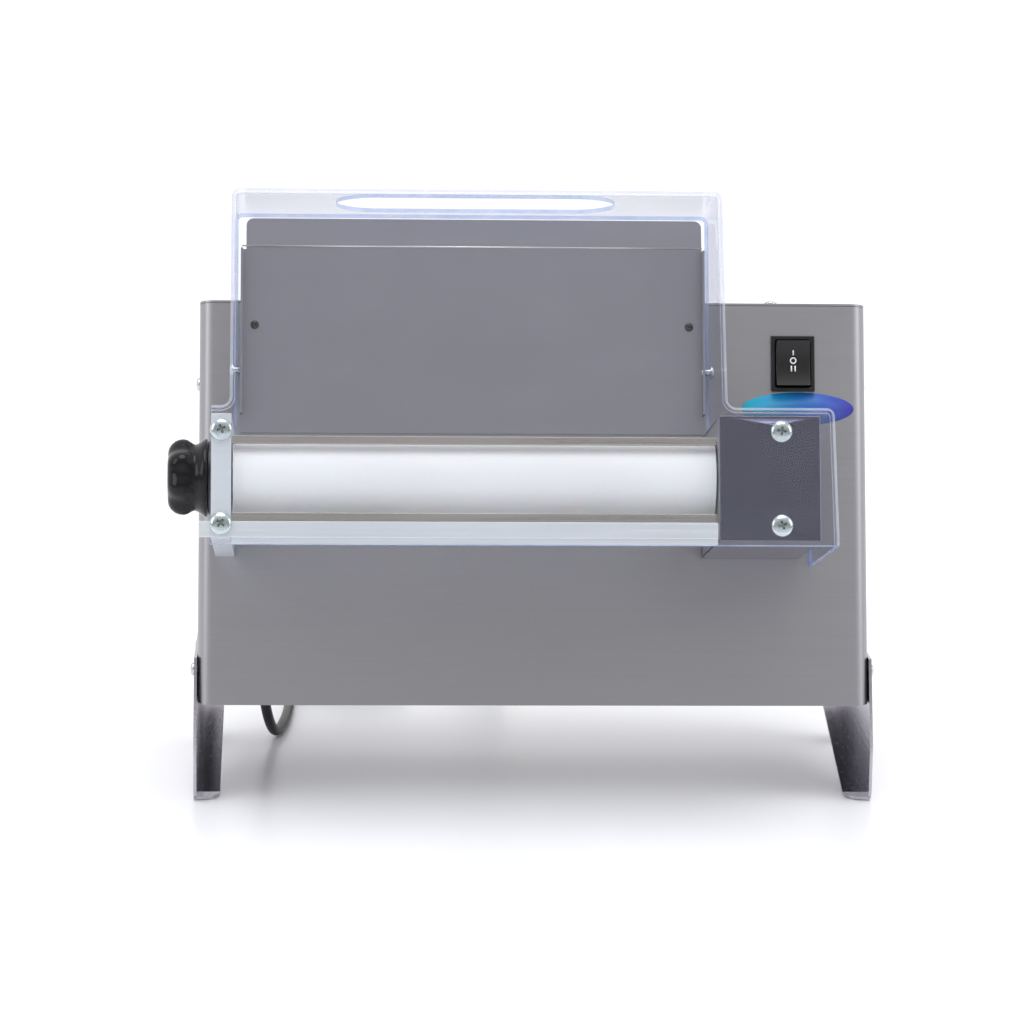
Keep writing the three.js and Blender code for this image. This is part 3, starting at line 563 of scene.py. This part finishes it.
def coil_points():
    """Clockwise turns from above: in on the lower layer, up at the middle, and out on the upper one."""
    start, end = Vector(LEAD[-1]) - COIL, Vector(TAIL[0]) - COIL
    first = math.atan2(start.y, start.x)
    last = math.atan2(end.y, end.x)
    sweep = (first - last) % TAU + TAU * COIL_TURNS
    steps = round(sweep / TAU * POINTS_PER_TURN)
    points = []
    for i in range(1, steps):
        share = i / steps
        angle = first - sweep * share
        side = start.xy.length if share < 0.5 else end.xy.length
        inward = 1 - abs(2 * share - 1)
        radius = side + (COIL_INNER - side) * min(inward / NARROWEST, 1)
        climb = min(max((share - CLIMB_START) / CLIMB_LENGTH, 0), 1)
        z = LYING_Z + (SECOND_LAYER_Z - LYING_Z) * climb * climb * (3 - 2 * climb)
        points.append((COIL.x + radius * math.cos(angle), COIL.y + radius * math.sin(angle), z))
    return points


def smooth_curve(name, points, radius):
    """A round cord through points, as one open spline."""
    curve = bpy.data.curves.new(name, "CURVE")
    curve.dimensions = "3D"
    curve.bevel_depth = radius * MM
    curve.bevel_resolution = 6
    curve.resolution_u = 6
    curve.use_fill_caps = True
    spline = curve.splines.new("BEZIER")
    spline.bezier_points.add(len(points) - 1)
    placed = [TABLE @ Vector(point) for point in points]
    for i, (knot, point) in enumerate(zip(spline.bezier_points, placed)):
        before, after = placed[max(i - 1, 0)], placed[min(i + 1, len(placed) - 1)]
        along = (after - before).normalized()
        knot.co = point
        knot.handle_left = point - along * (point - before).length / 3
        knot.handle_right = point + along * (after - point).length / 3
    cord = bpy.data.objects.new(name, curve)
    cord.data.materials.append(SHEATH)
    bpy.context.scene.collection.objects.link(cord)
    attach(cord, "root")
    length = sum(spline.calc_length() for spline in curve.splines)
    return cord, length


def mains_plug():
    """The round moulded plug, ribbed where it is held, with its two pins."""
    before, last = Vector(TAIL[-2]), Vector(TAIL[-1])
    heading = math.atan2(last.y - before.y, last.x - before.x)
    place = TABLE @ Matrix.Translation(last + Vector((0.6, 0, 0))) @ Matrix.Rotation(heading, 4, "Z")
    place = place @ Matrix.Rotation(math.pi / 2, 4, "Y")
    body = mesh_piece("plug_body", *turned(PLUG_PROFILE), [BLACK], "root", "cord_pvc", place)
    bevel_edges(body, 0.3)
    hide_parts("mains_plug")
    pins = []
    for side, word in ((-1, "a"), (1, "b")):
        at = place @ Matrix.Translation((0, PIN_SPACING / 2 * side, 0))
        pin = mesh_piece(f"plug_pin_{word}", *turned(PIN_PROFILE, 20), [BRASS], "root", "plain_steel", at)
        pins.append(pin)
    return [body, *pins]


def cord_tie():
    """A narrow strap around all the coil's turns."""
    middle, height, corner = TIE["middle"], TIE["height"], TIE["corner"]
    outline = []
    for quarter, (u, v) in enumerate([(1, 1), (-1, 1), (-1, -1), (1, -1)]):
        across = middle + u * (TIE["half"] - corner)
        up = height + v * (height - corner)
        for step in range(5):
            angle = TAU / 4 * (quarter + step / 4)
            outline.append((across + corner * math.cos(angle), up + corner * math.sin(angle)))
    share = TIE["inner"]
    inner = [(middle + (r - middle) * share, height + (z - height) * share) for r, z in outline]
    side = TIE["half_width"]
    rings = []
    for x, loop in ((-side, outline), (side, outline), (side, inner), (-side, inner), (-side, outline)):
        rings.append([(x, -radial, z) for radial, z in loop])
    place = TABLE @ Matrix.Translation(COIL)
    return mesh_piece("cord_tie", *loft(rings, closed=False), [BLACK], "root", "cord_pvc", place)


def mains_lead():
    route = [*LEAD, *coil_points(), *TAIL]
    cord, length = smooth_curve("mains_cord", route, CORD_RADIUS)
    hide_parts("mains_lead", "mains_lead_coil", "mains_lead_tail")
    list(mains_plug())
    cord_tie()


mains_lead()


# ---- CAD nodes: materials and small edge rounds ----

# In millimetres.
SMALL_ROUND = 0.25
WELD = 0.01
EDGE_ROUNDS = {
    "housing_shell": 0.4,
    "top_cover": 0.4,
    "gear_cover": 0.9,
    "hopper_plate": 0.4,
    "front_roller": 0.8,
    "rear_roller": 0.8,
    "end_plate_left": 0.5,
    "end_plate_right": 0.5,
    "switch_body": 0.7,
    "switch_rocker": 0.6,
    "cord_elbow": 0.5,
    "motor_housing": 1.2,
    "gearhead": 1.0,
    "run_capacitor": 1.2,
    "terminal_block": 0.5,
}
NODE_MATERIALS = {"hopper_plate": HOPPER_STEEL}


def dress_nodes():
    slots = {part["node"]: part["material_slot"] for part in frame["record"]["subparts"]}
    for name, node in nodes.items():
        node.data.materials.clear()
        node.data.materials.append(NODE_MATERIALS.get(name, SLOT_MATERIALS[slots[name]]))
        custom = node.data.attributes.get("custom_normal")
        if custom:
            node.data.attributes.remove(custom)
        node.data.shade_smooth()
        weld = node.modifiers.new("weld", "WELD")
        weld.merge_threshold = WELD * MM
        bevel_edges(node, EDGE_ROUNDS.get(name, SMALL_ROUND), angle=32)


dress_nodes()


# ---- Screws ----

SCREW_SIZES = {
    "screw_m8": {"head": 7.5, "dome": 4.4, "shank": 4, "length": 20, "recess": 3.3},
    "screw_m4": {"head": 3.0, "dome": 1.5, "shank": 2.2, "length": 8, "recess": 1.4},
    "screw_m5": {"head": 4.5, "dome": 2.8, "shank": 2.4, "length": 6, "recess": 2.0},
}
# The height of a head's straight rim, as a share of its dome's, and the steps of its curve.
RIM_SHARE = 0.28
DOME_STEPS = 9
RECESS_TURN = 0.4
# Places on both sides of the housing, [y, z], and on its top, [x, y].
SIDE_SCREWS = {"side_screw": (30, 225), "back_side_screw": (138, 222)}
LID_SCREWS = {"lid_screw": (165.5, 8), "lid_rear_screw": (164, 136)}
GUARD_SCREW = (-8, 230)
SEAT_GAP = 0.1


def screw_template(name, material, recess_shade_material):
    """A pan head with a cross recess, its seat at the origin and its head towards +Z."""
    head, dome, shank, length, recess = SCREW_SIZES[name].values()
    profile = [(0, -length), (shank * 0.8, -length), (shank, -length + 0.8), (shank, 0), (head, 0)]
    profile.append((head, dome * RIM_SHARE))
    for step in range(1, DOME_STEPS):
        angle = TAU / 4 * step / DOME_STEPS
        rise = RIM_SHARE + (1 - RIM_SHARE) * math.sin(angle)
        profile.append((head * math.cos(angle) ** 0.8, dome * rise))
    profile.append((0, dome))
    materials = [material, recess_shade_material]
    piece = mesh_piece(name, *turned(profile, 40), materials, None, None, METRES_FROM_MM)
    half = recess / 4
    arm = [(-recess, -half), (recess, -half), (recess, half), (-recess, half)]
    deep = [(u * 0.6, v * 0.6) for u, v in arm]
    rings = [[(u, v, dome * 0.3) for u, v in deep], [(u, v, dome + 0.6) for u, v in arm]]
    for turn in (0, 1):
        place = METRES_FROM_MM @ Matrix.Rotation(TAU / 4 * turn + RECESS_TURN, 4, "Z")
        tool = mesh_piece(f"{name}_arm", *loft(rings), materials, None, None, place)
        # The recess faces take the second, darker material: painted shade in the recess.
        for polygon in tool.data.polygons:
            polygon.material_index = 1
        cut(piece, tool)
    bevel_edges(piece, head * 0.02, angle=50)
    bake(piece)
    mesh = piece.data
    bpy.data.objects.remove(piece)
    return mesh


TOWARDS_USER = Matrix.Rotation(TAU / 4, 4, "X")


def screw(name, template, at, facing, replaced=None, turn=0.0):
    """A screw from a template at a place in the housing's frame, with its head towards facing."""
    piece = bpy.data.objects.new(name, template)
    bpy.context.scene.collection.objects.link(piece)
    spin = Matrix.Rotation(turn, 4, "Z")
    piece.matrix_world = HOUSING_METRES @ Matrix.Translation(Vector(at) * MM) @ facing @ spin
    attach(piece, "root")
    if replaced:
        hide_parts(replaced)


def screws():
    large = screw_template("screw_m8", ZINC, ZINC_RECESS_SHADE)
    for i, (word, at) in enumerate(ROLLER_SCREWS.items()):
        screw(f"pan_screw_{word}", large, at, TOWARDS_USER, f"roller_screw_{word}", 0.5 * i)
    dark = screw_template("screw_m4", BLACK, BLACK)
    for word, at in HOPPER_SCREWS.items():
        screw(f"dark_screw_{word}", dark, at, TOWARDS_USER, f"hopper_screw_{word}")
    small = screw_template("screw_m5", ZINC, ZINC_RECESS_SHADE)
    for side, word in ((-1, "left"), (1, "right")):
        outwards = Matrix.Rotation(side * TAU / 4, 4, "Y")
        at = (GUARD["upper"][0 if side < 0 else 1] + SEAT_GAP * side, *GUARD_SCREW)
        screw(f"wall_screw_{word}", small, at, outwards, f"guard_screw_{word}")
        for name, place in SIDE_SCREWS.items():
            at = (side * (HALF_WIDTH + SEAT_GAP), *place)
            screw(f"{name}_{word}", small, at, outwards)
        for name, (x, y) in LID_SCREWS.items():
            screw(f"{name}_{word}", small, (x * side, y, HOUSING_TOP), Matrix.Identity(4))
        for place in ("front", "rear"):
            node = f"foot_screw_{word}_{place}"
            low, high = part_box(node)
            seat = side * (HALF_WIDTH + FOOT_SHEET + SEAT_GAP)
            centre = HOUSING.inverted() @ ((low + high) / 2)
            screw(f"side_{node}", small, (seat, centre.y, centre.z), outwards, node)


screws()


# ---- Knob ----

KNOB_LOBES = 7
KNOB_SIDES = 16 * KNOB_LOBES
# Radius, place along the knob's axis, and depth of the lobes.
KNOB_PROFILE = [
    (0.0, -248.4, 0.0),
    (16.0, -248.4, 0.8),
    (18.6, -247.8, 1.0),
    (21.2, -246.0, 1.2),
    (23.2, -243.2, 1.4),
    (24.1, -240.4, 1.5),
    (24.3, -238.0, 1.5),
    (23.9, -235.6, 1.4),
    (22.8, -233.2, 0.9),
    (22.1, -231.4, 0.4),
    (22.1, -230.2, 0.1),
    (22.8, -228.6, 0.0),
    (24.2, -226.8, 0.0),
    (25.4, -225.2, 0.0),
    (25.9, -223.8, 0.0),
    (25.8, -222.4, 0.0),
    (25.2, -221.6, 0.0),
    (0.0, -221.6, 0.0),
]


def knob():
    along_x = Matrix(((0, 0, 1, 0), (1, 0, 0, 0), (0, 1, 0, 0), (0, 0, 0, 1)))
    place = HOUSING @ Matrix.Translation((0, *AXLE_FRONT)) @ along_x
    shape = turned(KNOB_PROFILE, KNOB_SIDES, KNOB_LOBES)
    grip = mesh_piece("lobed_knob", *shape, [BAKELITE], "knob", "bakelite", place)
    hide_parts("adjustment_knob")


knob()


# ---- Guard ----


def guard_outline(inset):
    """The edge of the guard's front, [x, z], from its left step to its bottom right, moved inwards."""
    foot, step, top = GUARD["z"]
    left, right = GUARD["upper"]
    outer = GUARD["lower"][1]
    corners = [
        (GUARD["lower"][0], step - inset, 0),
        (left + inset, step - inset, -1),
        (left + inset, top - inset, 1),
        (right - inset, top - inset, 1),
        (right - inset, step - inset, -1),
        (outer - inset, step - inset, 1),
        (outer - inset, foot, 0),
    ]
    points = []
    for i, (x, z, convex) in enumerate(corners):
        corner = Vector((x, z))
        if not convex:
            points.append(corner)
            continue
        radius = GUARD["corner"] - convex * inset
        back = (Vector(corners[i - 1][:2]) - corner).normalized()
        on = (Vector(corners[i + 1][:2]) - corner).normalized()
        centre = corner + (back + on) * radius
        for angle in quarter_turn():
            points.append(centre - on * radius * math.cos(angle) - back * radius * math.sin(angle))
    return points


def quarter_turn():
    """The angles of a bend's or a corner's points."""
    steps = GUARD["steps"]
    return [TAU / 4 * k / steps for k in range(steps + 1)]


def guard_face(z):
    """How far forward the guard's front lies at the height z."""
    return GUARD["front"] + GUARD["slope"] * (z - GUARD["z"][2])


def guard():
    bend = GUARD["bend"]
    rings = [[(x, GUARD["back"], z) for x, z in guard_outline(0)]]
    for angle in quarter_turn():
        outline = guard_outline(bend * (1 - math.cos(angle)))
        depth = bend * (1 - math.sin(angle))
        rings.append([(x, guard_face(z) + depth, z) for x, z in outline])
    count = len(rings[0])
    last = (len(rings) - 1) * count
    vertices = [point for ring in rings for point in ring]
    faces = []
    for row in range(0, last, count):
        for i in range(row, row + count - 1):
            faces.append([i, i + 1, i + 1 + count, i + count])
    foot, left = GUARD["z"][0], GUARD["lower"][0]
    vertices.append((left, guard_face(foot), foot))
    faces.append([*range(last, last + count), len(vertices) - 1])
    materials = [CLEAR, CLEAR_EDGE_GLOW, CLEAR_BEND_HIGHLIGHT]
    shell = mesh_piece("guard_shell", vertices, faces, materials, "root", "clear_guard")
    # The middle rows of each bend take the painted highlight material.
    first_lit, past_lit = (row * (count - 1) for row in GUARD["lit_rows"])
    for polygon in shell.data.polygons[first_lit:past_lit]:
        polygon.material_index = 2
    wall = shell.modifiers.new("wall", "SOLIDIFY")
    wall.thickness = GUARD["thickness"] * MM
    wall.offset = -1
    wall.use_even_offset = True
    wall.use_rim = True
    wall.material_offset_rim = 1
    bake(shell)
    cut(shell, slot_tool())
    bevel_edges(shell, 0.35, angle=60)
    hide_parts("guard")


def slot_tool():
    """The feed slot's round-ended shape, through the guard's top."""
    (x0, x1), (y0, y1) = FEED_SLOT["x"], FEED_SLOT["y"]
    radius, middle = (y1 - y0) / 2, (y0 + y1) / 2
    steps = 16
    outline = []
    for centre, start in ((x1 - radius, -TAU / 4), (x0 + radius, TAU / 4)):
        for k in range(steps + 1):
            angle = start + math.pi * k / steps
            outline.append((centre + radius * math.cos(angle), middle + radius * math.sin(angle)))
    top = GUARD["z"][2]
    rings = [[(x, y, z) for x, y in outline] for z in (top - 8, top + 8)]
    tool = mesh_piece("slot_tool", *loft(rings), [CLEAR, CLEAR_EDGE_GLOW], None, None)
    for polygon in tool.data.polygons:
        polygon.material_index = 1
    return tool


guard()


# ---- Switch marks, sticker and the fold's painted highlight ----

MARK = {"half_width": 0.45, "half_length": 2.6, "lift": 0.18, "sunk": 0.35}
# How far above the rocker's middle each mark is.
ON_HEIGHT, OFF_HEIGHT, OTHER_ON_HEIGHT = 8.0, 1.8, -4.4
OFF_RADII = (2.3, 1.45)
OTHER_ON_SPREAD = 1.3


def plate(name, outline, y, material, body, slot, hole=None):
    """A thin flat piece on the panel from an [x, z] outline, with its face towards the user."""
    front, back = y
    if hole:
        rings = [
            [(x, front, z) for x, z in outline],
            [(x, back, z) for x, z in outline],
            [(x, back, z) for x, z in hole],
            [(x, front, z) for x, z in hole],
            [(x, front, z) for x, z in outline],
        ]
    else:
        rings = [[(x, depth, z) for x, z in outline] for depth in (front, back)]
    mesh_piece(name, *loft(rings, closed=not hole), [material], body, slot)


def ellipse(centre, half, sides=48):
    return [
        (centre[0] + half[0] * math.cos(TAU * i / sides), centre[1] + half[1] * math.sin(TAU * i / sides))
        for i in range(sides)
    ]


def rectangle(x, z):
    return [(x[0], z[0]), (x[1], z[0]), (x[1], z[1]), (x[0], z[1])]


def mark_depth(height):
    """The front and back of a mark in the rocker's hollow, height above its middle."""
    face = ROCKER["face"] - ROCKER["hollow"] * (height / ROCKER["half_height"]) ** 2
    return face - MARK["lift"], face + MARK["sunk"]


def mark_bar(name, offset, height):
    x, z = SWITCH[0] + offset, SWITCH[1] + height
    width, length = MARK["half_width"], MARK["half_length"]
    outline = rectangle((x - width, x + width), (z - length, z + length))
    plate(name, outline, mark_depth(height), PRINT, "switch_rocker", "black_plastic")


def mark_ring(name, height):
    centre = (SWITCH[0], SWITCH[1] + height)
    outer, inner = (ellipse(centre, (radius, radius), 32) for radius in OFF_RADII)
    plate(name, outer, mark_depth(height), PRINT, "switch_rocker", "black_plastic", hole=inner)


def switch_marks():
    """The on, off and on marks, printed near the middle of the rocker's hollow."""
    mark_bar("mark_one", 0, ON_HEIGHT)
    mark_ring("mark_off", OFF_HEIGHT)
    mark_bar("mark_two_left", -OTHER_ON_SPREAD, OTHER_ON_HEIGHT)
    mark_bar("mark_two_right", OTHER_ON_SPREAD, OTHER_ON_HEIGHT)


# A thin strip along the hopper's fold: a small step, in a lighter steel that paints the fold's bright line as a
# painted highlight.
def hopper_fold_highlight():
    outline = rectangle(HOPPER_FOLD["x"], HOPPER_FOLD["z"])
    plate("hopper_fold_highlight", outline, HOPPER_FOLD["y"], PLAIN_STEEL, "root", "housing_steel")


def sticker():
    outline = ellipse(STICKER["centre"], STICKER["half"], 72)
    plate("oval_sticker", outline, STICKER["y"], sticker_blue(), "root", "black_plastic")


switch_marks()
hopper_fold_highlight()
sticker()


# ---- Floor and light ----

# Sizes and places are metres here.
FLOOR_SIZE = 60
FLOOR_DROP = 0.0005
# The room's brightness by direction: place 0 is straight to the user or down, and place 1 is
# straight back or up.
ROOM = ((0.0, 1.0), (0.27, 0.35), (0.62, 0.85), (0.8, 1.0))
SUN = {"strength": 1.3, "angle": 44, "tilt": 9}
LAMPS = {"left": (-2.4, -1.2, 1.5), "right": (2.4, -1.0, 1.4)}
LAMP_AIM = (0, 0, 0.2)
LAMP_SIZE = (1.2, 1.6)
LAMP_POWER = 12


def floor():
    bpy.ops.mesh.primitive_plane_add(size=FLOOR_SIZE, location=(0, 0, -FLOOR_DROP))
    plane = bpy.context.object
    plane.name = "floor"
    paint = Paint("floor_white").set(Base_Color=(0.91, 0.915, 0.955, 1), Roughness=0.3)
    plane.data.materials.append(paint.material)


def studio():
    """White all round, with a darker band on the user's side, a little above the machine's level."""
    world = bpy.data.worlds.new("studio")
    world.use_nodes = True
    tree = world.node_tree
    place = tree.nodes.new("ShaderNodeTexCoord")
    split = tree.nodes.new("ShaderNodeSeparateXYZ")
    both = tree.nodes.new("ShaderNodeMath")
    both.operation = "ADD"
    ramp = tree.nodes.new("ShaderNodeValToRGB")
    for stop, (position, level) in zip(ramp.color_ramp.elements, (ROOM[0], ROOM[-1])):
        stop.position = position
        stop.color = (level, level, level, 1)
    for position, level in ROOM[1:-1]:
        ramp.color_ramp.elements.new(position).color = (level, level, level, 1)
    scale = tree.nodes.new("ShaderNodeMapRange")
    scale.inputs["From Min"].default_value = -1.0
    scale.inputs["From Max"].default_value = 1.0
    tree.links.new(place.outputs["Generated"], split.inputs["Vector"])
    tree.links.new(split.outputs["Y"], both.inputs[0])
    tree.links.new(split.outputs["Z"], both.inputs[1])
    tree.links.new(both.outputs[0], scale.inputs["Value"])
    tree.links.new(scale.outputs["Result"], ramp.inputs["Fac"])
    tree.links.new(ramp.outputs["Color"], tree.nodes["Background"].inputs["Color"])
    bpy.context.scene.world = world


def sun():
    """A wide soft light from overhead, from slightly on the user's side."""
    data = bpy.data.lights.new("overhead", "SUN")
    data.energy = SUN["strength"]
    data.angle = math.radians(SUN["angle"])
    light = bpy.data.objects.new("overhead", data)
    light.rotation_euler = (math.radians(SUN["tilt"]), 0, 0)
    bpy.context.scene.collection.objects.link(light)


def lamp(name, place):
    data = bpy.data.lights.new(name, "AREA")
    data.shape = "RECTANGLE"
    data.size, data.size_y = LAMP_SIZE
    data.energy = LAMP_POWER
    light = bpy.data.objects.new(name, data)
    light.location = place
    light.rotation_euler = (Vector(LAMP_AIM) - Vector(place)).to_track_quat("-Z", "Y").to_euler()
    bpy.context.scene.collection.objects.link(light)


floor()
studio()
sun()
for lamp_name, lamp_place in LAMPS.items():
    lamp(lamp_name, lamp_place)
bpy.context.scene.view_settings.view_transform = "Standard"
